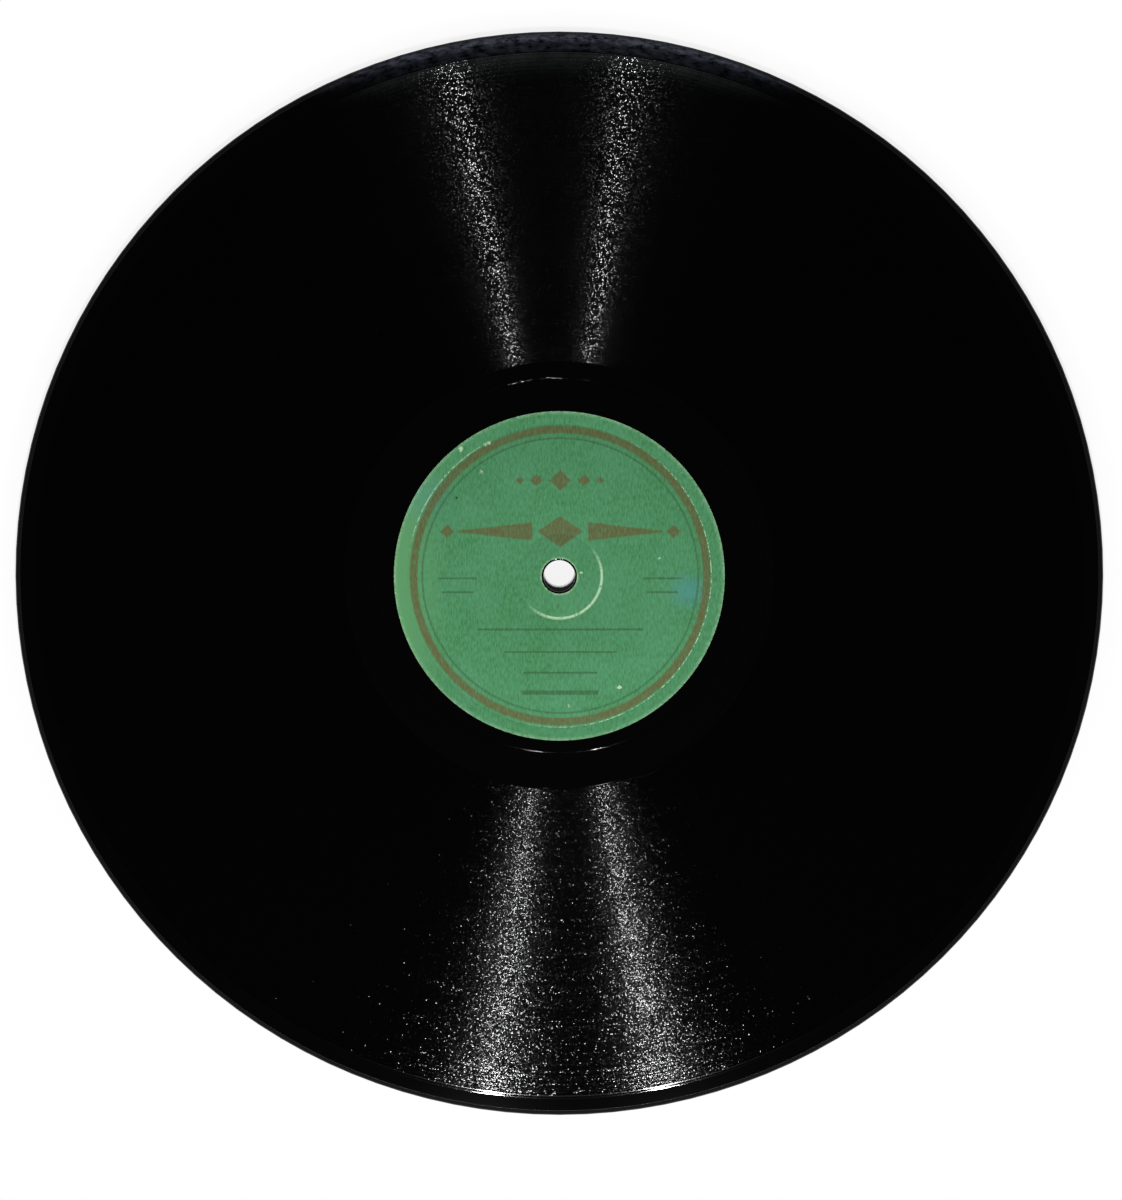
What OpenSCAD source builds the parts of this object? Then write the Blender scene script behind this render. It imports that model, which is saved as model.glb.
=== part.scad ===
// Laminated shellac record for 78 turns a minute, 25 cm class.
// The disc lies flat with its labelled front face up. The origin is on the spindle axis, on the
// plane that the back face rests on, and +Y points to the top of the front label.

/* [Disc] */
// Diameter of the disc
disc_d = 250; // [240:1:305]
// Thickness across the two playing faces
disc_t = 2.2; // [1.8:0.05:3.2]
// Width of the plain margin outside the groove
margin_w = 4; // [2:0.1:8]
// How far the margin lies below the playing face
margin_drop = 0.15; // [0.05:0.01:0.3]
// Width of the slope from the playing face down to the margin
shoulder_w = 0.4; // [0.2:0.05:1]

/* [Spindle hole] */
// Diameter of the hole
bore_d = 7.25; // [7:0.05:8]
// Radius that the hole's edges are rounded to
bore_edge_r = 0.4; // [0.1:0.05:0.6]

/* [Layers] */
// Depth of each playing layer, from the playing face to the core
layer_t = 0.45; // [0.35:0.05:0.6]
// Thickness of the paper between a playing layer and the core
paper_t = 0.1; // [0.08:0.01:0.15]
// How far the paper stays inside the edge of the disc
paper_inset = 2.5; // [1.5:0.1:6]
// Diameter of the hole in the paper
paper_hole_d = 14; // [10:0.5:30]

/* [Recorded groove] */
// Spacing of the recorded turns
groove_pitch = 0.28; // [0.24:0.02:0.6]
// Width of the groove at the playing face
groove_w = 0.15; // [0.1:0.01:0.2]
// Depth of every groove for each millimetre of its width, as the cutting stylus leaves it
groove_depth_per_w = 0.4; // [0.34:0.02:0.5]

/* [Guide groove] */
// Width of the run-in, run-out and finishing grooves
guide_w = 0.24; // [0.16:0.01:0.3]
// Distance from the shoulder to the first turn of the run-in
run_in_gap = 0.5; // [0.3:0.05:1]
// Turns of the silent run-in
run_in_turns = 6; // [1:1:10]
// Spacing of those turns
run_in_pitch = 0.92; // [0.6:0.02:1.4]
// How far the run-out moves in, from the recorded turns to the finishing groove
run_out_w = 3.72; // [2:0.02:20]
// Land between the label and the finishing groove where that lies nearest to it
finish_gap = 2.9; // [1:0.1:5]
// How far the centre of the finishing groove lies from the spindle axis
finish_throw = 2.3; // [1.5:0.1:3]

/* [Label] */
// Diameter of the label
label_d = 76; // [70:0.5:78]
// Thickness of the label
label_t = 0.15; // [0.1:0.01:0.18]
// How far the label lies below the playing face
label_sink = 0.03; // [0.02:0.01:0.06]
// Room between the rounded edge of the spindle hole and the label
label_hole_gap = 0.05; // [0.02:0.01:0.5]
// Diameter of the ring that the middle of the press leaves in the label
crease_inner_d = 19.4; // [16:0.2:30]
// Distance of the press's outer ring from the edge of the label
crease_inset = 3; // [2:0.1:8]
// Width of those rings
crease_w = 0.5; // [0.3:0.05:0.8]
// Depth of those rings
crease_depth = 0.06; // [0.03:0.01:0.08]

/* [Hidden] */
$fn = 96;

// How far a cutter reaches past the surface that it cuts
over = 1;

disc_r = disc_d / 2;
bore_r = bore_d / 2;
core_top = disc_t - layer_t;

// The margin ends in a full-round edge
edge_r = disc_t / 2 - margin_drop;
margin_r = disc_r - margin_w;
shoulder_r = margin_r - shoulder_w;

paper_r = disc_r - paper_inset;
paper_hole_r = paper_hole_d / 2;

label_r = label_d / 2;
label_top = disc_t - label_sink;
label_hole_r = bore_r + bore_edge_r + label_hole_gap;

groove_depth = groove_w * groove_depth_per_w;
guide_depth = guide_w * groove_depth_per_w;

// The run-out starts one pitch inside the innermost turn and ends where the finishing groove lies
// furthest out
finish_r = label_r + finish_gap + finish_throw;
run_out_end_r = finish_r + finish_throw;
run_out_start_r = run_out_end_r + run_out_w;

// The recorded turns fill the room between the run-in and the run-out
run_in_r = shoulder_r - run_in_gap;
recorded_outer_r = run_in_r - run_in_turns * run_in_pitch;
recorded_inner_r = run_out_start_r + groove_pitch;
recorded_turns = floor((recorded_outer_r - recorded_inner_r) / groove_pitch);

// Half section of the whole pressing, with X as the radius
module disc_section() {
  difference() {
    union() {
      polygon([[0, 0], [shoulder_r, 0], [margin_r, margin_drop],
               [margin_r, disc_t - margin_drop], [shoulder_r, disc_t], [0, disc_t]]);
      translate([shoulder_r, margin_drop]) square([disc_r - edge_r - shoulder_r, 2 * edge_r]);
      translate([disc_r - edge_r, disc_t / 2]) circle(r = edge_r);
    }
    translate([0, -over]) square([bore_r, disc_t + 2 * over]);
    bore_edge();
    translate([0, disc_t]) mirror([0, 1]) bore_edge();
  }
}

// What the rounding takes off the lower edge of the spindle hole
module bore_edge() {
  difference() {
    translate([0, -over]) square([bore_r + bore_edge_r, over + bore_edge_r]);
    translate([bore_r + bore_edge_r, bore_edge_r]) circle(r = bore_edge_r);
  }
}

// The slice of the pressing between two heights
module slice_section(z_from, z_to) {
  intersection() {
    disc_section();
    translate([0, z_from]) square([disc_r + over, z_to - z_from]);
  }
}

// Cutter for the recorded turns: a row of teeth whose tips are the bottoms of the groove. The real
// groove moves in by one pitch a turn, and here each turn, like each of the run-in's, is a closed
// ring at that pitch.
module recorded_teeth() {
  tooth_h = groove_pitch * groove_depth_per_w;
  tip_z = disc_t - groove_depth;
  teeth = [for (k = [0 : recorded_turns]) each [
      [recorded_inner_r + (k - 0.5) * groove_pitch, tip_z + tooth_h],
      [recorded_inner_r + k * groove_pitch, tip_z]]];
  last_r = recorded_inner_r + (recorded_turns + 0.5) * groove_pitch;
  polygon(concat(teeth, [[last_r, tip_z + tooth_h], [last_r, disc_t + over],
                         [teeth[0][0], disc_t + over]]));
}

// Cutter for a V groove whose mouth of the given width is centred on the origin
module v_section(w, depth) {
  flare = (depth + over) / depth;
  polygon([[0, -depth], [flare * w / 2, over], [-flare * w / 2, over]]);
}

// Cutter for the turns of the run-in
module run_in_teeth() {
  for (k = [0 : run_in_turns - 1])
    translate([run_in_r - k * run_in_pitch, disc_t]) v_section(guide_w, guide_depth);
}

// Half a turn of spiral, from the bottom of the disc up its right side to the top, where it enters
// the finishing groove. Its centre lies midway between its two ends.
module run_out() {
  translate([0, (run_out_end_r - run_out_start_r) / 2, disc_t])
    rotate([0, 0, -90])
      rotate_extrude(angle = 180)
        translate([(run_out_end_r + run_out_start_r) / 2, 0]) v_section(guide_w, guide_depth);
}

module finishing_groove() {
  translate([0, finish_throw, disc_t])
    rotate_extrude() translate([finish_r, 0]) v_section(guide_w, guide_depth);
}

module paper_section() {
  translate([paper_hole_r, core_top]) square([paper_r - paper_hole_r, paper_t]);
}

// The label's place, open upwards
module label_seat_section() {
  translate([label_hole_r, label_top - label_t])
    square([label_r - label_hole_r, label_t + label_sink + over]);
}

module playing_layer() {
  difference() {
    rotate_extrude() difference() {
      slice_section(core_top, disc_t);
      paper_section();
      label_seat_section();
      run_in_teeth();
      recorded_teeth();
    }
    run_out();
    finishing_groove();
  }
}

module interleaf() {
  rotate_extrude() paper_section();
}

module label() {
  rotate_extrude() difference() {
    translate([label_hole_r, label_top - label_t]) square([label_r - label_hole_r, label_t]);
    for (crease_r = [crease_inner_d / 2, label_r - crease_inset])
      translate([crease_r, label_top]) v_section(crease_w, crease_depth);
  }
}

// Turns a front piece over about the X axis to make the back one
module on_back() {
  translate([0, 0, disc_t]) rotate([180, 0, 0]) children();
}

module core() {
  color([0.17, 0.15, 0.14]) rotate_extrude() slice_section(layer_t, core_top);
}

module front_paper() {
  color([0.60, 0.46, 0.30]) interleaf();
}

module front_layer() {
  color([0.04, 0.04, 0.05]) playing_layer();
}

module front_label() {
  color([0.30, 0.55, 0.36]) label();
}

module back_paper() {
  color([0.60, 0.46, 0.30]) on_back() interleaf();
}

module back_layer() {
  color([0.04, 0.04, 0.05]) on_back() playing_layer();
}

module back_label() {
  color([0.30, 0.55, 0.36]) on_back() label();
}

core();
front_paper();
front_layer();
front_label();
back_paper();
back_layer();
back_label();
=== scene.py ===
# A laminated shellac record, 25 cm across, lying flat with its labelled front face up.
from math import asin, atan2, cos, e, hypot, pi, radians, sin, sqrt

import bpy
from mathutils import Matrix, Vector


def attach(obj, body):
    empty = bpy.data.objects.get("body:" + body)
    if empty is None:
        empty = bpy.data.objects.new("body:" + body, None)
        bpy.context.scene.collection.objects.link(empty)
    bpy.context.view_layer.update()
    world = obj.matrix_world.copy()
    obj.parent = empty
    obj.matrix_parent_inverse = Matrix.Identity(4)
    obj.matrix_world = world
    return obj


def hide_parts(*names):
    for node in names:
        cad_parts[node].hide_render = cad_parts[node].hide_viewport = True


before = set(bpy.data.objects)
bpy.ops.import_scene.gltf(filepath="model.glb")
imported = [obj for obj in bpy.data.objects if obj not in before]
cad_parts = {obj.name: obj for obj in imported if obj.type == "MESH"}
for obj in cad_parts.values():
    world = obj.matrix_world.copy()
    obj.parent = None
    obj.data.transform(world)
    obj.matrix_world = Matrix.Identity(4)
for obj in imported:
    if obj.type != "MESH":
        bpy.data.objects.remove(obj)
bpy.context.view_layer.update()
MM = 0.001

# Core. The thick middle of the disc: coarse shellac composition, filled with ground stone and lamp
# black, that carries the spindle hole. The press squeezes it out to the rim, where a thin dull band
# of it shows between the two playing layers.
DISC_R = 125.0
DISC_T = 2.2
LAYER_T = 0.45
CORE_TOP = DISC_T - LAYER_T
MARGIN_DROP = 0.15
EDGE_R = DISC_T / 2 - MARGIN_DROP
BORE_R = 3.625
SEGMENTS = 128
EDGE_STEPS = 8
MERGE_GAP = 0.001
SHARP_ANGLE = radians(15)
CORE_DULL = "#191613"
CORE_STONE = "#2c2823"
GRAIN = 0.25
GRAIN_RELIEF = 0.06
SHELLAC_IOR = 1.52


def spun(name, profile):
    """A closed profile, (radius, height) in mm, drawn vertex by vertex and spun round the spindle."""
    bpy.ops.object.select_all(action="DESELECT")
    bpy.ops.mesh.primitive_plane_add(size=MM)
    piece = bpy.context.object
    piece.name = piece.data.name = name
    bpy.ops.object.mode_set(mode="EDIT")
    bpy.ops.mesh.merge(type="CENTER")
    at = Vector((0, 0, 0))
    for step, (radius, height) in enumerate(profile):
        move = Vector((radius * MM, 0, height * MM)) - at
        at += move
        if step == 0:
            bpy.ops.transform.translate(value=move)
        else:
            bpy.ops.mesh.extrude_vertices_move(TRANSFORM_OT_translate={"value": move})
    bpy.ops.mesh.select_all(action="SELECT")
    bpy.ops.mesh.spin(steps=SEGMENTS, angle=2 * pi, center=(0, 0, 0), axis=(0, 0, 1))
    bpy.ops.mesh.select_all(action="SELECT")
    bpy.ops.mesh.remove_doubles(threshold=MERGE_GAP * MM)
    bpy.ops.mesh.normals_make_consistent(inside=False)
    bpy.ops.object.mode_set(mode="OBJECT")
    bpy.ops.object.shade_smooth_by_angle(angle=SHARP_ANGLE)
    return piece


def edge_arc(height_from, height_to):
    """Points of the disc's full-round edge between two heights, in the order given."""
    turns = [asin(min(1, (h - DISC_T / 2) / EDGE_R)) for h in (height_from, height_to)]
    return [
        (DISC_R - EDGE_R + EDGE_R * cos(t), DISC_T / 2 + EDGE_R * sin(t))
        for t in (turns[0] + (turns[1] - turns[0]) * k / EDGE_STEPS for k in range(EDGE_STEPS + 1))
    ]


def colour(sheet_hex):
    """An sRGB hex value as the linear colour that a shader takes."""
    parts = [int(sheet_hex[i : i + 2], 16) / 255 for i in (1, 3, 5)]
    return [p / 12.92 if p <= 0.04045 else ((p + 0.055) / 1.055) ** 2.4 for p in parts] + [1]


def add(material, kind, inputs=None, **settings):
    """Adds a node with its settings, links or sets its inputs, and returns its first output.

    Inputs are given by number where a node has several of one name: a MapRange takes its value in 0,
    maps from 1 and 2 to 3 and 4, and a Mix of colours takes its share in 0 and the colours in 6 and 7.
    """
    tree = material.node_tree
    node = tree.nodes.new("ShaderNode" + kind)
    for name, value in settings.items():
        setattr(node, name, value)
    for socket, value in (inputs or {}).items():
        if isinstance(value, bpy.types.NodeSocket):
            tree.links.new(value, node.inputs[socket])
        else:
            node.inputs[socket].default_value = value
    return next((s for s in node.outputs if s.enabled), node)


def new_material(name):
    """An empty material and its Principled shader's inputs, by name."""
    material = bpy.data.materials.new(name)
    material.use_nodes = True
    return material, material.node_tree.nodes["Principled BSDF"].inputs


def millimetres(material):
    """The place on the piece in millimetres."""
    place = add(material, "TexCoord").node.outputs["Object"]
    return add(material, "VectorMath", {0: place, "Scale": 1 / MM}, operation="SCALE")


# Filled shellac composition, sheared at the rim: dull black-brown with paler grains of stone.
composition, shader = new_material("filled_shellac_composition")
grains = add(composition, "TexNoise", {
    "Vector": millimetres(composition), "Scale": 1 / GRAIN, "Detail": 4.0, "Roughness": 0.7})
stone = add(composition, "MapRange", {0: grains, 1: 0.52, 2: 0.74})
tint = add(composition, "Mix", {0: stone, 6: colour(CORE_DULL), 7: colour(CORE_STONE)},
           data_type="RGBA")
composition.node_tree.links.new(tint, shader["Base Color"])
rough = add(composition, "MapRange", {0: grains, 3: 0.42, 4: 0.7})
composition.node_tree.links.new(rough, shader["Roughness"])
relief = add(composition, "Bump", {
    "Height": grains, "Strength": 0.35, "Distance": GRAIN_RELIEF * MM})
composition.node_tree.links.new(relief, shader["Normal"])
shader["IOR"].default_value = SHELLAC_IOR

core_profile = [(BORE_R, LAYER_T)] + edge_arc(LAYER_T, CORE_TOP)
core_profile += [(BORE_R, CORE_TOP), (BORE_R, LAYER_T)]
core = spun("core_pressing", core_profile)
core.data.materials.append(composition)
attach(core, "root")
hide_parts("core")


# Interleaves. Two thin sheets of kraft paper, one on each side of the core, that keep the grit of
# the core away from the groove. They are sealed in by the playing layers, so they keep their solids.
KRAFT = "#9a7a52"
KRAFT_FIBRE = "#7b5c39"
KRAFT_FIBRE_W = 0.4
KRAFT_RELIEF = 0.04

# Unbleached kraft paper: brown, with darker fibres a few tenths of a millimetre wide.
kraft, shader = new_material("unbleached_kraft_paper")
fibres = add(kraft, "TexNoise", {
    "Vector": millimetres(kraft), "Scale": 1 / KRAFT_FIBRE_W, "Detail": 5.0})
tint = add(kraft, "Mix", {0: fibres, 6: colour(KRAFT), 7: colour(KRAFT_FIBRE)}, data_type="RGBA")
kraft.node_tree.links.new(tint, shader["Base Color"])
relief = add(kraft, "Bump", {"Height": fibres, "Strength": 0.3, "Distance": KRAFT_RELIEF * MM})
kraft.node_tree.links.new(relief, shader["Normal"])
shader["Roughness"].default_value = 0.85
for node in ("front_paper", "back_paper"):
    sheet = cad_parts[node].data
    sheet.materials.clear()
    sheet.materials.append(kraft)


# Playing layers. Fine shellac composition, pressed hot between two stampers, so that each face
# carries the groove: six silent turns of run-in, the recorded turns, half a turn of run-out and the
# eccentric finishing groove, with a smooth margin and a smooth land round the label.
SHOULDER_R = 120.6
MARGIN_R = 121.0
BORE_EDGE_R = 0.4
BORE_STEPS = 8
LABEL_R = 38.0
LABEL_HOLE_R = 4.075
LABEL_SINK = 0.03
LABEL_T = 0.15
LABEL_TOP = DISC_T - LABEL_SINK
PAPER_T = 0.1
PAPER_R = 122.5
PAPER_HOLE_R = 7.0
PITCH = 0.28
GROOVE_W = 0.15
GUIDE_W = 0.24
DEPTH_PER_W = 0.4
GUIDE_DEPTH = GUIDE_W * DEPTH_PER_W
RUN_IN_R = 120.1
RUN_IN_TURNS = 6
RUN_IN_PITCH = 0.92
RECORDED_INNER_R = 49.5
RECORDED_OUTER_R = RUN_IN_R - RUN_IN_TURNS * RUN_IN_PITCH
RECORDED_TURNS = 232
FINISH_R = 43.2
FINISH_THROW = 2.3
RUN_OUT_R = 47.36
RUN_OUT_THROW = -1.86

# The shoulder is soft at both ends. Each point is a share of its width and of its drop, and two more
# rings keep the margin flat between the shoulder and the round edge.
SHOULDER_CURVE = (
    (-0.8, 0), (-0.45, 0.03), (-0.1, 0.09), (0.2, 0.2), (0.45, 0.42), (0.8, 0.86), (1.1, 0.98), (1.4, 1))
MARGIN_FROM_R = MARGIN_R + 0.35
MARGIN_TO_R = DISC_R - EDGE_R - 0.12


def v_groove(radius, width):
    """One groove of the profile: its inner lip, its bottom and its outer lip."""
    return [
        (radius - width / 2, DISC_T),
        (radius, DISC_T - width * DEPTH_PER_W),
        (radius + width / 2, DISC_T),
    ]


# The face from the bore outwards. Each recorded turn and each turn of the run-in is a closed ring, as
# it is in the solids.
bore_turns = [pi / 2 * k / BORE_STEPS for k in range(BORE_STEPS + 1)]
face = [(BORE_R, CORE_TOP)]
face += [
    (BORE_R + BORE_EDGE_R * (1 - cos(t)), DISC_T - BORE_EDGE_R * (1 - sin(t))) for t in bore_turns
]
seat_z = LABEL_TOP - LABEL_T
face += [(LABEL_HOLE_R, DISC_T), (LABEL_HOLE_R, seat_z), (LABEL_R, seat_z), (LABEL_R, DISC_T)]
face += v_groove(FINISH_R, GUIDE_W) + v_groove(RUN_OUT_R, GUIDE_W)
for turn in range(RECORDED_TURNS + 1):
    face += v_groove(RECORDED_INNER_R + turn * PITCH, GROOVE_W)
for turn in reversed(range(RUN_IN_TURNS)):
    face += v_groove(RUN_IN_R - turn * RUN_IN_PITCH, GUIDE_W)
for width_share, drop_share in SHOULDER_CURVE:
    radius = SHOULDER_R + width_share * (MARGIN_R - SHOULDER_R)
    face.append((radius, DISC_T - drop_share * MARGIN_DROP))
face += [(MARGIN_FROM_R, DISC_T - MARGIN_DROP), (MARGIN_TO_R, DISC_T - MARGIN_DROP)]
face += edge_arc(DISC_T - MARGIN_DROP, CORE_TOP)
face += [
    (PAPER_R, CORE_TOP),
    (PAPER_R, CORE_TOP + PAPER_T),
    (PAPER_HOLE_R, CORE_TOP + PAPER_T),
    (PAPER_HOLE_R, CORE_TOP),
    (BORE_R, CORE_TOP),
]
front_layer = spun("front_playing_layer", face)


def off_centre(angle, radius, throw):
    """Distance from the spindle, in the direction of angle, to a circle whose centre lies off it."""
    return throw * sin(angle) + sqrt(radius**2 - (throw * cos(angle)) ** 2)


# The finishing groove and the run-out are still rings round the spindle. Each vertex slides along its
# own radius to where its groove lies, and the left half of the run-out's ring closes up to plain land.
# Where the run-out enters the finishing groove, the lips between the two meet in a ridge below the face.
GUIDE_SPLIT_R = (FINISH_R + RUN_OUT_R) / 2
MIDDLE_SLACK = 0.1
CLOSED_AT = 1.4
CLOSED_STEP = 0.2
RIDGE_GAP = 0.004
for vertex in front_layer.data.vertices:
    x, y, z = vertex.co
    radius = hypot(x, y) / MM
    if not FINISH_R - GUIDE_W < radius < RUN_OUT_R + GUIDE_W or z / MM < DISC_T - 2 * GUIDE_DEPTH:
        continue
    angle = atan2(y, x)
    finish = off_centre(angle, FINISH_R, FINISH_THROW)
    run_out = off_centre(angle, RUN_OUT_R, RUN_OUT_THROW)
    in_finish = radius < GUIDE_SPLIT_R
    on_right = x > -MIDDLE_SLACK * MM
    if in_finish:
        offset = round((radius - FINISH_R) / (GUIDE_W / 2))
        new_radius = finish + offset * GUIDE_W / 2
    else:
        offset = round((radius - RUN_OUT_R) / (GUIDE_W / 2))
        new_radius = run_out + offset * GUIDE_W / 2
        if not on_right:
            new_radius = max(new_radius, finish + (CLOSED_AT + CLOSED_STEP * offset) * GUIDE_W)
    depth = GUIDE_DEPTH if offset == 0 and (in_finish or on_right) else 0
    if run_out - finish < GUIDE_W and on_right:
        between = (finish + run_out) / 2
        facing_lip = offset == (1 if in_finish else -1)
        if facing_lip:
            new_radius = between - offset * RIDGE_GAP
            depth = GUIDE_DEPTH - DEPTH_PER_W * (run_out - finish)
        elif offset == 0 and not in_finish:
            new_radius = max(new_radius, between + 2 * RIDGE_GAP)
    vertex.co = (cos(angle) * new_radius * MM, sin(angle) * new_radius * MM, (DISC_T - depth) * MM)

# Fine pressed shellac composition: near black with a hard gloss. Above the label's head the margin is
# hazed and mottled, rougher where handling wore it, and carries a painted bluish-grey sheen, a painted
# reflection of the room there. Handling dulls the round edge. The land round the label keeps its gloss.
SHELLAC = "#030303"
SHELLAC_PAINTED_SHEEN = "#464855"
MOTTLES_PER_RADIAN = 45.0
MOTTLES_PER_MM = 0.9
MOTTLE_RELIEF = 0.004
HAZE_AND_SHEEN_FROM_Y = 109.0
HAZE_AND_SHEEN_FULL_Y = 123.5
HAZE_AND_SHEEN_THIN_R = 122.4
HAZE_AND_SHEEN_THIN = 0.55
HAZE_AND_SHEEN_THICK_R = 124.2
HAZE_AND_SHEEN_THICK = 2.4
HAZE_ROUGH = 0.4
LAND_ROUGH = 0.06
MARGIN_ROUGH = 0.034
MARGIN_GLOSS_R = MARGIN_R + 0.2
EDGE_ROUGH = 0.92
EDGE_DULL_FROM_R = DISC_R - 1.18 * EDGE_R
EDGE_DULL_R = DISC_R - 1.14 * EDGE_R
plain, shader = new_material("pressed_shellac_gloss")
spot = millimetres(plain)
reach = add(plain, "VectorMath", {0: spot}, operation="LENGTH").node.outputs["Value"]
flat_spot = add(plain, "SeparateXYZ", {0: spot})
x_mm, y_mm = flat_spot, flat_spot.node.outputs["Y"]
angle = add(plain, "Math", {0: y_mm, 1: x_mm}, operation="ARCTAN2")
rubbed = add(plain, "CombineXYZ", {
    0: add(plain, "Math", {0: angle, 1: MOTTLES_PER_RADIAN}, operation="MULTIPLY"),
    1: add(plain, "Math", {0: reach, 1: MOTTLES_PER_MM}, operation="MULTIPLY")})
mottle = add(plain, "TexNoise", {"Vector": rubbed, "Scale": 1.0, "Detail": 8.0, "Roughness": 0.68},
             noise_dimensions="2D")
on_margin = add(plain, "Math", {0: reach, 1: SHOULDER_R}, operation="GREATER_THAN")
# Painted sheen: its mask grows up the Y axis towards the label's head and towards the rim. The same mask
# makes the margin rougher.
sheen_side = add(plain, "MapRange", {0: y_mm, 1: HAZE_AND_SHEEN_FROM_Y, 2: HAZE_AND_SHEEN_FULL_Y},
           interpolation_type="SMOOTHSTEP")
haze_and_sheen_mottle = add(plain, "MapRange", {0: mottle, 1: 0.34, 2: 0.78})
haze_and_sheen_strength = add(plain, "MapRange", {
    0: reach, 1: HAZE_AND_SHEEN_THIN_R, 2: HAZE_AND_SHEEN_THICK_R, 3: HAZE_AND_SHEEN_THIN, 4: HAZE_AND_SHEEN_THICK})
sheen_side = add(plain, "Math", {0: sheen_side, 1: haze_and_sheen_strength}, operation="MULTIPLY")
haze_and_sheen = add(plain, "Math", {0: on_margin, 1: sheen_side}, operation="MULTIPLY")
haze_and_sheen = add(plain, "Math", {0: haze_and_sheen_mottle, 1: haze_and_sheen}, operation="MULTIPLY")
# The painted sheen: bluish grey mixed into the black of the margin above the label's head.
tint = add(plain, "Mix", {0: haze_and_sheen, 6: colour(SHELLAC), 7: colour(SHELLAC_PAINTED_SHEEN)}, data_type="RGBA")
plain.node_tree.links.new(tint, shader["Base Color"])
gloss = add(plain, "MapRange", {
    0: reach, 1: SHOULDER_R, 2: MARGIN_GLOSS_R, 3: LAND_ROUGH, 4: MARGIN_ROUGH})
rough = add(plain, "MapRange", {
    0: reach, 1: EDGE_DULL_FROM_R, 2: EDGE_DULL_R, 3: gloss, 4: EDGE_ROUGH})
rough = add(plain, "Math", {0: haze_and_sheen, 1: HAZE_ROUGH, 2: rough}, operation="MULTIPLY_ADD",
            use_clamp=True)
plain.node_tree.links.new(rough, shader["Roughness"])
relief = add(plain, "Bump", {"Height": mottle, "Strength": 0.1, "Distance": MOTTLE_RELIEF * MM})

# The press rounds the lips of the finishing groove over some hundredths of a millimetre, in broken
# stretches. On the back the groove's centre lies off the spindle the other way.
LAND_FACING = 0.9
FINISH_LIP_W = 0.055
FINISH_LIP_LEAN = 0.23
FINISH_STRETCHES = 600
SHARP_SHARE = 0.45
upright = add(plain, "NewGeometry").node.outputs["Normal"]
height = add(plain, "SeparateXYZ", {0: upright}).node.outputs["Z"]
height = add(plain, "Math", {0: height}, operation="ABSOLUTE")
on_land = add(plain, "Math", {0: height, 1: LAND_FACING}, operation="GREATER_THAN")
above = add(plain, "Math", {0: flat_spot.node.outputs["Z"], 1: DISC_T / 2}, operation="SUBTRACT")
above = add(plain, "Math", {0: above}, operation="SIGN")
ring_y = add(plain, "Math", {0: above, 1: -FINISH_THROW, 2: y_mm}, operation="MULTIPLY_ADD")
ring_place = add(plain, "CombineXYZ", {0: x_mm, 1: ring_y})
ring_reach = add(plain, "VectorMath", {0: ring_place}, operation="LENGTH").node.outputs["Value"]
ring_outwards = add(plain, "VectorMath", {0: ring_place}, operation="NORMALIZE")
off_groove = add(plain, "Math", {0: FINISH_R, 1: ring_reach}, operation="SUBTRACT")
lip = add(plain, "Math", {0: off_groove}, operation="ABSOLUTE")
lean = add(plain, "MapRange", {
    0: lip, 1: GUIDE_W / 2, 2: GUIDE_W / 2 + FINISH_LIP_W, 3: FINISH_LIP_LEAN, 4: 0.0})
lean = add(plain, "Math", {0: lean, 1: on_land}, operation="MULTIPLY")
lean = add(plain, "Math", {0: lean, 1: add(plain, "Math", {0: off_groove}, operation="SIGN")},
           operation="MULTIPLY")
stretch = add(plain, "Math", {0: angle, 1: FINISH_STRETCHES / (2 * pi)}, operation="MULTIPLY")
stretch = add(plain, "Math", {0: stretch}, operation="FLOOR")
chance = add(plain, "TexWhiteNoise", {"W": stretch}, noise_dimensions="1D")
rounded = add(plain, "Math", {0: chance, 1: SHARP_SHARE}, operation="GREATER_THAN")
lean = add(plain, "Math", {0: lean, 1: rounded}, operation="MULTIPLY")
leaning = add(plain, "VectorMath", {0: ring_outwards, "Scale": lean}, operation="SCALE")
facing = add(plain, "VectorMath", {0: relief, 1: leaning}, operation="ADD")
facing = add(plain, "VectorMath", {0: facing}, operation="NORMALIZE")
plain.node_tree.links.new(facing, shader["Normal"])
shader["IOR"].default_value = SHELLAC_IOR
shader["Specular IOR Level"].default_value = 0.25

# The same composition where it is grooved. The rounded lips and bottoms of the turns spread light
# along the radius and hardly along the groove, which gives the bright spokes that point at a lamp.
# The sound is a sideways wiggle of a few hundredths of a millimetre. It turns each short stretch of
# the groove to its own side, which breaks the spokes up into glints. On the wide lands of the run-in
# the glints lie in rows half a pitch apart.
STRETCHES = 4800
grooved, shader = new_material("pressed_shellac_grooved")
spot = millimetres(grooved)
flat_spot = add(grooved, "SeparateXYZ", {0: spot})
x_mm, y_mm = flat_spot, flat_spot.node.outputs["Y"]
ground = add(grooved, "CombineXYZ", {0: x_mm, 1: y_mm})
reach = add(grooved, "VectorMath", {0: ground}, operation="LENGTH").node.outputs["Value"]
outwards = add(grooved, "VectorMath", {0: ground}, operation="NORMALIZE")
along = add(grooved, "VectorMath", {0: outwards, 1: (0, 0, 1)}, operation="CROSS_PRODUCT")
angle = add(grooved, "Math", {0: y_mm, 1: x_mm}, operation="ARCTAN2")
turn = add(grooved, "Math", {0: reach, 1: 1 / PITCH, 2: -RECORDED_INNER_R / PITCH},
           operation="MULTIPLY_ADD")
on_run_in = add(grooved, "Math", {0: reach, 1: RECORDED_OUTER_R}, operation="GREATER_THAN")
turn = add(grooved, "Math", {0: turn, 1: on_run_in, 2: turn}, operation="MULTIPLY_ADD")
turn_number = add(grooved, "Math", {0: turn}, operation="FLOOR")
stretch = add(grooved, "Math", {0: angle, 1: STRETCHES / (2 * pi)}, operation="MULTIPLY")
stretch_number = add(grooved, "Math", {0: stretch}, operation="FLOOR")
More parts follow.
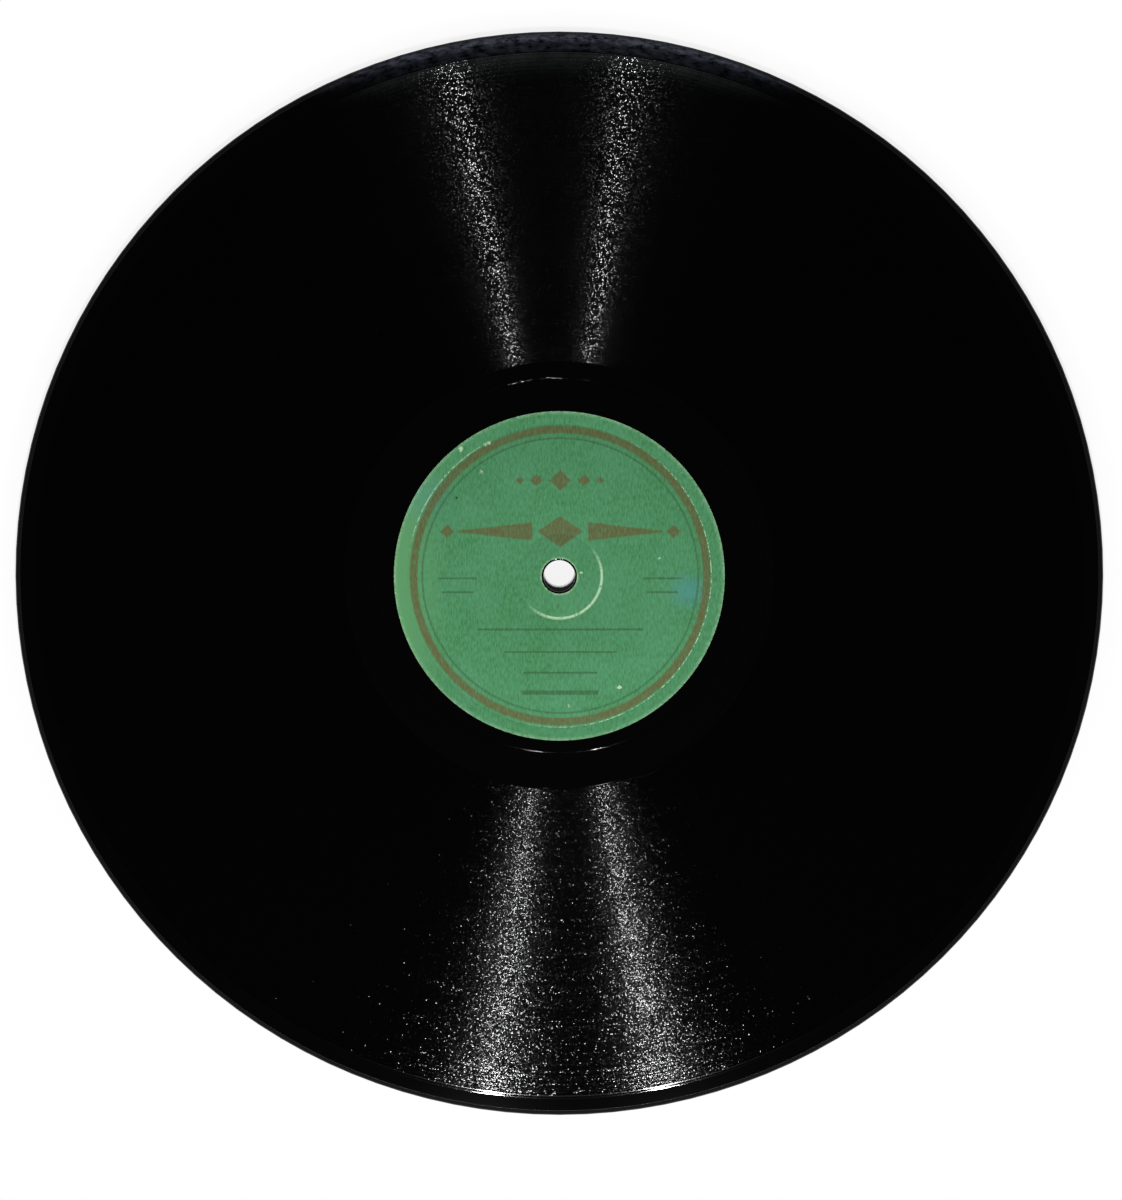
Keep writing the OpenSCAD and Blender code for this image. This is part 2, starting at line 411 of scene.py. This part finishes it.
cell = add(grooved, "CombineXYZ", {0: turn_number, 1: stretch_number})
chance = add(grooved, "TexWhiteNoise", {"Vector": cell}, noise_dimensions="2D").node.outputs["Color"]
chances = add(grooved, "SeparateXYZ", {0: chance}).node.outputs

# Each stretch leans outwards or inwards. The outward lean grows towards the label, where the same
# sound is squeezed into shorter turns. The inward lean is steeper, and steepest in the run-in. Only
# the lands between the turns show it, because the walls of a turn face away from the lamps.
LIP_LEAN = 0.29
INNER_LEAN = 1.15
RUN_IN_LEAN = 1.7 * INNER_LEAN
RUN_IN_BLEND = 0.5
upright = add(grooved, "NewGeometry").node.outputs["Normal"]
height = add(grooved, "SeparateXYZ", {0: upright}).node.outputs["Z"]
height = add(grooved, "Math", {0: height}, operation="ABSOLUTE")
on_land = add(grooved, "Math", {0: height, 1: LAND_FACING}, operation="GREATER_THAN")
lean = add(grooved, "Math", {0: LIP_LEAN * RECORDED_OUTER_R, 1: reach}, operation="DIVIDE")
toss = add(grooved, "MapRange", {0: chances["Y"], 3: -1.0})
outer = add(grooved, "Math", {0: toss, 1: 0.0}, operation="MAXIMUM")
inner = add(grooved, "Math", {0: toss, 1: 0.0}, operation="MINIMUM")
inner_lean = add(grooved, "MapRange", {
    0: reach, 1: RECORDED_OUTER_R - RUN_IN_BLEND, 2: RECORDED_OUTER_R + RUN_IN_BLEND,
    3: INNER_LEAN, 4: RUN_IN_LEAN})
inner = add(grooved, "Math", {0: inner, 1: inner_lean}, operation="MULTIPLY")
tilt = add(grooved, "Math", {0: outer, 1: lean, 2: inner}, operation="MULTIPLY_ADD")
tilt = add(grooved, "Math", {0: tilt, 1: on_land}, operation="MULTIPLY")

# Loudness changes along the groove, in passages of a fraction of a turn to a few turns, and from turn
# to turn. Small swings are common and large ones rare. The swing shows most on the flat of a land and
# fades down its lips, sooner on the inward one.
SWING = 0.0072
QUIET_SWING = 0.5 * SWING
LOUD_SWING = 1.5 * SWING
STEEP_SWING_SHARE = 0.1
PASSAGES_PER_TURN = 0.16
PASSAGES_PER_RADIAN = 1.3
INWARD_FADE = 3.0
passage = add(grooved, "CombineXYZ", {
    0: add(grooved, "Math", {0: turn_number, 1: PASSAGES_PER_TURN}, operation="MULTIPLY"),
    1: add(grooved, "Math", {0: angle, 1: PASSAGES_PER_RADIAN}, operation="MULTIPLY")})
loudness = add(grooved, "TexNoise", {"Vector": passage, "Scale": 1.0, "Detail": 4.0, "Roughness": 0.65},
               noise_dimensions="2D")
swing = add(grooved, "MapRange", {0: loudness, 1: 0.3, 2: 0.7, 3: QUIET_SWING, 4: LOUD_SWING})
one_turn = add(grooved, "TexWhiteNoise", {"W": turn_number}, noise_dimensions="1D")
one_turn = add(grooved, "MapRange", {0: one_turn, 3: 0.7, 4: 1.4})
swing = add(grooved, "Math", {0: swing, 1: one_turn}, operation="MULTIPLY")
inward = add(grooved, "Math", {0: tilt, 1: -INWARD_FADE}, operation="MULTIPLY")
steep = add(grooved, "Math", {0: tilt, 1: inward}, operation="MAXIMUM")
faded = add(grooved, "MapRange", {0: steep, 2: LIP_LEAN, 3: 1.0, 4: STEEP_SWING_SHARE})
swing = add(grooved, "Math", {0: swing, 1: faded}, operation="MULTIPLY")
rest = add(grooved, "Math", {0: 1.0, 1: chances["X"]}, operation="SUBTRACT")
side = add(grooved, "Math", {0: chances["X"], 1: rest}, operation="DIVIDE")
side = add(grooved, "Math", {0: side, 1: e}, operation="LOGARITHM")
side = add(grooved, "Math", {0: side, 1: swing}, operation="MULTIPLY")
sideways = add(grooved, "VectorMath", {0: along, "Scale": side}, operation="SCALE")
leaning = add(grooved, "VectorMath", {0: outwards, "Scale": tilt}, operation="SCALE")
facing = add(grooved, "VectorMath", {0: upright, 1: sideways}, operation="ADD")
facing = add(grooved, "VectorMath", {0: facing, 1: leaning}, operation="ADD")
facing = add(grooved, "VectorMath", {0: facing}, operation="NORMALIZE")
grooved.node_tree.links.new(facing, shader["Normal"])
grooved.node_tree.links.new(along, shader["Tangent"])

# Above the label's head the outer turns and the run-in carry grey clouds of painted sheen, a painted
# reflection of the room.
SHELLAC_OUTER_SHEEN = "#343838"
OUTER_SHEEN_FROM_Y = 107.0
OUTER_SHEEN_FULL_Y = 119.5
OUTER_SHEEN_FROM_R = RECORDED_OUTER_R - 1.5
CLOUDS_PER_MM = 0.3
sheen_side = add(grooved, "MapRange", {0: y_mm, 1: OUTER_SHEEN_FROM_Y, 2: OUTER_SHEEN_FULL_Y},
           interpolation_type="SMOOTHSTEP")
outer_sheen = add(grooved, "MapRange", {0: reach, 1: OUTER_SHEEN_FROM_R, 2: SHOULDER_R})
outer_sheen = add(grooved, "Math", {0: outer_sheen, 1: 2.0}, operation="POWER")
outer_sheen = add(grooved, "Math", {0: outer_sheen, 1: sheen_side}, operation="MULTIPLY")
cloud = add(grooved, "TexNoise", {"Vector": spot, "Scale": CLOUDS_PER_MM, "Detail": 5.0})
outer_sheen = add(grooved, "Math", {0: outer_sheen, 1: cloud}, operation="MULTIPLY")
# The painted sheen: grey clouds mixed into the black of the outer turns above the label's head.
tint = add(grooved, "Mix", {0: outer_sheen, 6: colour(SHELLAC), 7: colour(SHELLAC_OUTER_SHEEN)}, data_type="RGBA")
grooved.node_tree.links.new(tint, shader["Base Color"])
shader["Roughness"].default_value = 0.105
shader["IOR"].default_value = SHELLAC_IOR
shader["Specular IOR Level"].default_value = 0.12
shader["Anisotropic"].default_value = 1.0
shader["Anisotropic Rotation"].default_value = 0.25

front_layer.data.materials.append(plain)
front_layer.data.materials.append(grooved)
groove_from = RECORDED_INNER_R - GROOVE_W / 2
groove_to = RUN_IN_R + GUIDE_W
for polygon in front_layer.data.polygons:
    middle = polygon.center / MM
    on_face = middle.z > DISC_T - LAYER_T / 2
    polygon.material_index = int(on_face and groove_from < hypot(middle.x, middle.y) < groove_to)


def turned_over(piece, name):
    """A copy of a front piece, turned over about the X axis to the other face of the disc."""
    bpy.ops.object.select_all(action="DESELECT")
    piece.select_set(True)
    bpy.context.view_layer.objects.active = piece
    bpy.ops.object.duplicate()
    copy = bpy.context.object
    copy.name = copy.data.name = name
    copy.rotation_euler = (pi, 0, 0)
    copy.location = (0, 0, DISC_T * MM)
    bpy.ops.object.transform_apply(location=True, rotation=True, scale=True)
    return copy


back_layer = turned_over(front_layer, "back_playing_layer")
for piece, node in ((front_layer, "front_layer"), (back_layer, "back_layer")):
    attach(piece, "root")
    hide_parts(node)


# Labels. Round green pulp paper, printed in bronze and dark green, laid in the press before the
# composition, which takes hold of it. The dies leave two rings in it, and wear shows on them first.
CREASE_W = 0.5
CREASE_DEPTH = 0.06
CREASE_RINGS = (9.7, 35.0)
label_profile = [(LABEL_HOLE_R, seat_z), (LABEL_HOLE_R, LABEL_TOP)]
for ring in CREASE_RINGS:
    label_profile += [
        (ring - CREASE_W / 2, LABEL_TOP),
        (ring, LABEL_TOP - CREASE_DEPTH),
        (ring + CREASE_W / 2, LABEL_TOP),
    ]
label_profile += [(LABEL_R, LABEL_TOP), (LABEL_R, seat_z), (LABEL_HOLE_R, seat_z)]
front_label = spun("front_paper_label", label_profile)

PAPER_GREEN = "#498e5b"
PAPER_DARK = "#3a6a3c"
PAPER_PALE = "#5fa07a"
PAPER_BARE = "#b9dcb4"
PAPER_LEFT_PALE = "#61a06a"
BRONZE_INK = "#645e38"
BRONZE_THIN = "#567446"
GREEN_INK = "#3b6641"
DARK_FLECK = "#1f3a24"
BLUE_STAIN = "#4d93a0"
FIBRES_PER_MM = (2.8, 0.8, 1)
FIBRE_RELIEF = 0.04
DRIFTS_PER_MM = 0.12
GRIT_PER_MM = 3.2
BREAKS_PER_MM = 1.6
PALER_FROM_X = -24.0
PALER_FULL_X = -37.0

# The print, in mm from its own middle. A lozenge and a rule each have a place, half a width and half
# a height, and what stands on the right is repeated on the left. A ring has half a width at the foot
# of its soft edges and half a width where the ink is full.
PRINT_SHIFT = (0.2, 0.1, 0)
PRINT_WOBBLE = 0.25
BRONZE_RING_R = 33.7
BRONZE_RING_HALF_W = 1.05
BRONZE_RING_FULL = 0.7
FINE_RING_R = 31.7
FINE_RING_HALF_W = 0.34
FINE_RING_FULL = 0.1
FINE_RING_INK = 0.8
LOZENGE_EDGE = 0.2
BAR_EDGE = 0.15
RULE_EDGE = 0.12
LOZENGES = (
    (0, 10.2, 5.2, 3.6),
    (26.0, 10.2, 1.6, 1.6),
    (0, 22.0, 2.4, 2.4),
    (5.4, 22.0, 1.5, 1.5),
    (9.2, 22.0, 0.9, 0.9),
)
BAR_Y = 10.2
BAR_FROM_X = 6.4
BAR_TO_X = 23.6
BAR_HALF_H = 2.1
BAR_TIP_HALF_H = 0.15
RULES = (
    (0, -12.4, 19.0, 0.24),
    (0, -17.6, 13.0, 0.2),
    (0, -22.4, 8.5, 0.24),
    (0, -27.0, 8.8, 0.5),
    (23.5, -0.6, 4.4, 0.2),
    (23.5, -3.8, 3.6, 0.2),
)

# The wear. An arc has a radius, the direction of its middle, half its turn, half its width and how
# broken it is. A scuff or a fleck has a place and a size, and a stain has a strength too.
WORN_ARCS = (
    (9.75, -0.85, 1.6, 0.26, 0.36),
    (34.9, -0.35, 1.6, 0.1, 0.46),
    (34.9, 2.5, 0.5, 0.1, 0.42),
)
FRONT_SCUFFS = (
    (-22.6, 29.3, 0.6),
    (-16.9, 30.3, 0.4),
    (-16.0, 30.7, 0.45),
    (-17.9, 24.0, 0.4),
    (28.1, 23.9, 0.25),
    (13.8, -25.7, 0.5),
    (2.1, -29.9, 0.35),
    (34.5, -15.6, 0.3),
    (5.0, 0.8, 0.35),
    (22.9, 4.2, 0.3),
)
FRONT_STAINS = ((29.5, -3.4, 6.0, 0.45), (-31.0, 18.0, 9.0, 0.18))
FRONT_FLECKS = ((-23.7, 18.0, 0.35), (8.0, 14.8, 0.3))
BACK_SCUFFS = ((21.4, 17.2, 0.3),)
HOLE_WEAR_W = 0.5
RIM_WEAR_W = 0.9
RIM_WEAR_FULL = 0.1
CHIP_RAGGED = 2.0
CHIP_EDGE = 0.3


def printed_label(name, up, scuffs, stains, flecks):
    """Dyed pulp paper, letterpress printed: dull green with darker and paler fibres that run up the
    sheet, flat bronze and dark green ink that soaks in unevenly, and bare pulp where it is rubbed."""
    paper, shader = new_material(name)
    spot = add(paper, "VectorMath", {0: millimetres(paper), 1: (1, up, 1)}, operation="MULTIPLY")
    flat_spot = add(paper, "SeparateXYZ", {0: spot})
    x_mm, y_mm = flat_spot, flat_spot.node.outputs["Y"]
    reach = add(paper, "VectorMath", {0: add(paper, "CombineXYZ", {0: x_mm, 1: y_mm})},
                operation="LENGTH").node.outputs["Value"]
    angle = add(paper, "Math", {0: y_mm, 1: x_mm}, operation="ARCTAN2")

    fibre_place = add(paper, "VectorMath", {0: spot, 1: FIBRES_PER_MM}, operation="MULTIPLY")
    fibres = add(paper, "TexNoise", {
        "Vector": fibre_place, "Scale": 1.0, "Detail": 3.0, "Roughness": 0.6})
    clouds = add(paper, "TexNoise", {"Vector": spot, "Scale": DRIFTS_PER_MM, "Detail": 3.0})
    grit = add(paper, "TexNoise", {"Vector": spot, "Scale": GRIT_PER_MM, "Detail": 2.0})
    shade = add(paper, "MapRange", {0: fibres, 1: 0.52, 2: 0.26, 4: 0.8})
    light = add(paper, "MapRange", {0: fibres, 1: 0.5, 2: 0.78, 4: 0.8})
    drift = add(paper, "MapRange", {0: clouds, 1: 0.35, 2: 0.7, 4: 0.3})
    tint = add(paper, "Mix", {0: shade, 6: colour(PAPER_GREEN), 7: colour(PAPER_DARK)},
               data_type="RGBA")
    tint = add(paper, "Mix", {0: light, 6: tint, 7: colour(PAPER_PALE)}, data_type="RGBA")
    tint = add(paper, "Mix", {0: drift, 6: tint, 7: colour(PAPER_PALE)}, data_type="RGBA")
    # The sheet turns paler and yellower towards its left edge.
    paler_left = add(paper, "MapRange", {0: x_mm, 1: PALER_FROM_X, 2: PALER_FULL_X, 4: 0.85},
                 interpolation_type="SMOOTHSTEP")
    tint = add(paper, "Mix", {0: paler_left, 6: tint, 7: colour(PAPER_LEFT_PALE)}, data_type="RGBA")
    for x, y, size, strength in stains:
        away = add(paper, "VectorMath", {0: spot, 1: (x, y, LABEL_TOP)}, operation="DISTANCE")
        soak = add(paper, "MapRange", {0: away.node.outputs["Value"], 1: size, 2: 0.0, 4: strength},
                   interpolation_type="SMOOTHSTEP")
        tint = add(paper, "Mix", {0: soak, 6: tint, 7: colour(BLUE_STAIN)}, data_type="RGBA")

    # Ink: each printed shape is a number that is 1 inside it. The bronze ring and the ornament are
    # one colour, the fine ring and the rules another. The print sits a little off the middle of the
    # sheet.
    printed = add(paper, "VectorMath", {0: spot, 1: PRINT_SHIFT}, operation="SUBTRACT")
    printed_xyz = add(paper, "SeparateXYZ", {0: printed})
    x_far = add(paper, "Math", {0: printed_xyz}, operation="ABSOLUTE")
    y_print = printed_xyz.node.outputs["Y"]
    print_reach = add(paper, "VectorMath", {0: add(paper, "CombineXYZ", {0: x_far, 1: y_print})},
                      operation="LENGTH").node.outputs["Value"]
    wobble = add(paper, "MapRange", {0: grit, 3: -PRINT_WOBBLE, 4: PRINT_WOBBLE})
    ragged = add(paper, "Math", {0: print_reach, 1: wobble}, operation="ADD")
    off_ring = add(paper, "Math", {0: ragged, 1: BRONZE_RING_R}, operation="SUBTRACT")
    off_ring = add(paper, "Math", {0: off_ring}, operation="ABSOLUTE")
    bronze = add(paper, "MapRange", {0: off_ring, 1: BRONZE_RING_HALF_W, 2: BRONZE_RING_FULL})
    for x, y, half_w, half_h in LOZENGES:
        across = add(paper, "Math", {0: x_far, 1: x}, operation="SUBTRACT")
        across = add(paper, "Math", {0: across}, operation="ABSOLUTE")
        upward = add(paper, "Math", {0: y_print, 1: y}, operation="SUBTRACT")
        upward = add(paper, "Math", {0: upward}, operation="ABSOLUTE")
        off_middle = add(paper, "Math", {0: upward, 1: half_w / half_h, 2: across},
                         operation="MULTIPLY_ADD")
        off_middle = add(paper, "Math", {0: off_middle, 1: wobble}, operation="ADD")
        lozenge = add(paper, "MapRange", {
            0: off_middle, 1: half_w + LOZENGE_EDGE, 2: half_w - LOZENGE_EDGE})
        bronze = add(paper, "Math", {0: bronze, 1: lozenge}, operation="MAXIMUM")
    taper = add(paper, "MapRange", {
        0: x_far, 1: BAR_FROM_X, 2: BAR_TO_X, 3: BAR_HALF_H, 4: BAR_TIP_HALF_H})
    along_bar = add(paper, "Math", {
        0: x_far, 1: (BAR_FROM_X + BAR_TO_X) / 2, 2: (BAR_TO_X - BAR_FROM_X) / 2}, operation="COMPARE")
    upward = add(paper, "Math", {0: y_print, 1: BAR_Y}, operation="SUBTRACT")
    upward = add(paper, "Math", {0: upward}, operation="ABSOLUTE")
    past_bar = add(paper, "Math", {0: upward, 1: taper}, operation="SUBTRACT")
    past_bar = add(paper, "Math", {0: past_bar, 1: wobble}, operation="ADD")
    bar = add(paper, "MapRange", {0: past_bar, 1: BAR_EDGE, 2: -BAR_EDGE})
    bar = add(paper, "Math", {0: bar, 1: along_bar}, operation="MULTIPLY")
    bronze = add(paper, "Math", {0: bronze, 1: bar}, operation="MAXIMUM")
    cover = add(paper, "MapRange", {0: fibres, 1: 0.3, 2: 0.7, 3: 1.0, 4: 0.6})
    ink = add(paper, "Mix", {0: light, 6: colour(BRONZE_INK), 7: colour(BRONZE_THIN)},
              data_type="RGBA")
    bronze = add(paper, "Math", {0: bronze, 1: cover}, operation="MULTIPLY")
    tint = add(paper, "Mix", {0: bronze, 6: tint, 7: ink}, data_type="RGBA")

    off_ring = add(paper, "Math", {0: ragged, 1: FINE_RING_R}, operation="SUBTRACT")
    off_ring = add(paper, "Math", {0: off_ring}, operation="ABSOLUTE")
    rules = add(paper, "MapRange", {
        0: off_ring, 1: FINE_RING_HALF_W, 2: FINE_RING_FULL, 4: FINE_RING_INK})
    for x, y, half_w, half_h in RULES:
        across = add(paper, "Math", {0: x_far, 1: x, 2: half_w}, operation="COMPARE")
        upward = add(paper, "Math", {0: y_print, 1: y}, operation="SUBTRACT")
        upward = add(paper, "Math", {0: upward}, operation="ABSOLUTE")
        upward = add(paper, "Math", {0: upward, 1: wobble}, operation="ADD")
        rule = add(paper, "MapRange", {0: upward, 1: half_h + RULE_EDGE, 2: half_h - RULE_EDGE})
        rule = add(paper, "Math", {0: across, 1: rule}, operation="MULTIPLY")
        rules = add(paper, "Math", {0: rules, 1: rule}, operation="MAXIMUM")
    rules = add(paper, "Math", {0: rules, 1: cover}, operation="MULTIPLY")
    tint = add(paper, "Mix", {0: rules, 6: tint, 7: colour(GREEN_INK)}, data_type="RGBA")

    # Wear: bare pulp in broken lines along the two rings, at the edge of the hole and of the label,
    # and in a few scuffs.
    broken = add(paper, "TexNoise", {
        "Vector": spot, "Scale": BREAKS_PER_MM, "Detail": 4.0, "Roughness": 0.7})
    frayed = add(paper, "MapRange", {0: broken, 1: 0.36, 2: 0.62})
    wear = add(paper, "MapRange", {0: reach, 1: LABEL_HOLE_R + HOLE_WEAR_W, 2: LABEL_HOLE_R, 4: 0.9})
    rim = add(paper, "MapRange", {
        0: reach, 1: LABEL_R - RIM_WEAR_W, 2: LABEL_R - RIM_WEAR_FULL, 4: 0.45})
    wear = add(paper, "Math", {0: wear, 1: rim}, operation="MAXIMUM")
    wear = add(paper, "Math", {0: wear, 1: frayed}, operation="MULTIPLY")
    for ring, middle, half_turn, half_w, least in WORN_ARCS:
        line = add(paper, "Math", {0: reach, 1: ring}, operation="SUBTRACT")
        line = add(paper, "Math", {0: line}, operation="ABSOLUTE")
        line = add(paper, "MapRange", {0: line, 1: half_w * 1.6, 2: half_w * 0.5})
        turned = add(paper, "Math", {0: angle, 1: middle}, operation="SUBTRACT")
        turned = add(paper, "Math", {0: turned, 1: pi, 2: -pi}, operation="WRAP")
        turned = add(paper, "Math", {0: turned}, operation="ABSOLUTE")
        arc = add(paper, "MapRange", {0: turned, 1: half_turn, 2: half_turn * 0.6})
        patch = add(paper, "MapRange", {0: broken, 1: least, 2: least + 0.1})
        line = add(paper, "Math", {0: line, 1: patch}, operation="MULTIPLY")
        line = add(paper, "Math", {0: line, 1: arc}, operation="MULTIPLY")
        wear = add(paper, "Math", {0: wear, 1: line}, operation="MAXIMUM")

    def chip(x, y, size):
        """A ragged speck, as a number that is 1 inside it."""
        away = add(paper, "VectorMath", {0: spot, 1: (x, y, LABEL_TOP)}, operation="DISTANCE")
        away = add(paper, "Math", {0: broken, 1: CHIP_RAGGED, 2: away.node.outputs["Value"]},
                   operation="MULTIPLY_ADD")
        edge = size + CHIP_RAGGED / 2
        return add(paper, "MapRange", {0: away, 1: edge, 2: edge - CHIP_EDGE})

    for scuff in scuffs:
        wear = add(paper, "Math", {0: wear, 1: chip(*scuff)}, operation="MAXIMUM")
    tint = add(paper, "Mix", {0: wear, 6: tint, 7: colour(PAPER_BARE)}, data_type="RGBA")
    for fleck in flecks:
        tint = add(paper, "Mix", {0: chip(*fleck), 6: tint, 7: colour(DARK_FLECK)}, data_type="RGBA")

    paper.node_tree.links.new(tint, shader["Base Color"])
    relief = add(paper, "Bump", {"Height": fibres, "Strength": 0.3, "Distance": FIBRE_RELIEF * MM})
    paper.node_tree.links.new(relief, shader["Normal"])
    shader["Roughness"].default_value = 0.8
    shader["Specular IOR Level"].default_value = 0.2
    return paper


back_label = turned_over(front_label, "back_paper_label")
front_label.data.materials.append(
    printed_label("dyed_pulp_paper_front", 1, FRONT_SCUFFS, FRONT_STAINS, FRONT_FLECKS))
back_label.data.materials.append(printed_label("dyed_pulp_paper_back", -1, BACK_SCUFFS, (), ()))
for piece, node in ((front_label, "front_label"), (back_label, "back_label")):
    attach(piece, "root")
    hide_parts(node)


# Studio. A white sheet under the disc, two narrow strip lamps on the side that the label's foot
# points to, and a camera almost straight above that leans towards the label's head. Lengths are in
# metres here, apart from the gap under the disc.
FLOOR_WHITE = "#fbfbfb"
FLOOR_SIZE = 30
FLOOR_GAP = 0.02
bpy.ops.object.select_all(action="DESELECT")
bpy.ops.mesh.primitive_plane_add(size=FLOOR_SIZE, location=(0, 0, -FLOOR_GAP * MM))
floor_sheet = bpy.context.object
floor_sheet.name = "studio_floor"

# Matt white paper sheet. The camera sees it plain white from a few millimetres beside the disc. The
# sheet keeps some of its shadow close to the rim and all of it in the spindle hole.
GLOW_FROM = 0.1
WHITE_FROM = 0.1255
WHITE_FULL = 0.131
WHITE_LEAST = 0.86
white, shader = new_material("matt_white_sheet")
spot = add(white, "TexCoord").node.outputs["Object"]
distance = add(white, "VectorMath", {0: spot}, operation="LENGTH").node.outputs["Value"]
far = add(white, "MapRange", {0: distance, 1: WHITE_FROM, 2: WHITE_FULL, 3: WHITE_LEAST})
beside = add(white, "Math", {0: distance, 1: GLOW_FROM}, operation="GREATER_THAN")
far = add(white, "Math", {0: far, 1: beside}, operation="MULTIPLY")
seen = add(white, "LightPath").node.outputs["Is Camera Ray"]
glow = add(white, "Math", {0: far, 1: seen}, operation="MULTIPLY")
shader["Base Color"].default_value = colour(FLOOR_WHITE)
shader["Roughness"].default_value = 0.9
shader["Specular IOR Level"].default_value = 0.0
lit = shader["Base Color"].node.outputs[0]
plain_white = add(white, "Emission", {"Color": (1, 1, 1, 1), "Strength": 1.0})
blend = add(white, "MixShader", {0: glow, 1: lit, 2: plain_white})
white.node_tree.links.new(blend, white.node_tree.nodes["Material Output"].inputs["Surface"])
floor_sheet.data.materials.append(white)

STRIPS = {"strip_right": (0.0445, -0.27, 0.5), "strip_left": (-0.0294, -0.27, 0.5)}
STRIP_W = 0.007
STRIP_LENGTH = 0.14
STRIP_WATTS = 1.66
for name, place in STRIPS.items():
    strip = bpy.data.lights.new(name, "AREA")
    strip.shape = "RECTANGLE"
    strip.size = STRIP_W
    strip.size_y = STRIP_LENGTH
    strip.energy = STRIP_WATTS
    lamp = bpy.data.objects.new(name, strip)
    lamp.location = place
    lamp.rotation_euler = (-Vector(place)).to_track_quat("-Z", "Y").to_euler()
    bpy.context.scene.collection.objects.link(lamp)

ROOM_LIGHT = 0.02
world = bpy.data.worlds.new("studio")
bpy.context.scene.world = world
world.use_nodes = True
world.node_tree.nodes["Background"].inputs["Color"].default_value = (1, 1, 1, 1)
world.node_tree.nodes["Background"].inputs["Strength"].default_value = ROOM_LIGHT

PHOTO_W = 1122
DISC_HALF_WIDTH_PX = 544.01
CAMERA_LEAN = radians(5.25)
CAMERA_DISTANCE = 2.45
CAMERA_AIM = Vector((0.00038, -0.0055, DISC_T * MM))
SENSOR = 36.0
camera_data = bpy.data.cameras.new("camera")
camera_data.sensor_fit = "HORIZONTAL"
camera_data.sensor_width = SENSOR
camera_data.lens = SENSOR * DISC_HALF_WIDTH_PX * CAMERA_DISTANCE / (DISC_R * MM * PHOTO_W)
camera = bpy.data.objects.new("camera", camera_data)
camera.location = CAMERA_AIM + CAMERA_DISTANCE * Vector((0, sin(CAMERA_LEAN), cos(CAMERA_LEAN)))
camera.rotation_euler = (-CAMERA_LEAN, 0, 0)
bpy.context.scene.collection.objects.link(camera)
bpy.context.scene.camera = camera
bpy.context.scene.view_settings.view_transform = "Standard"
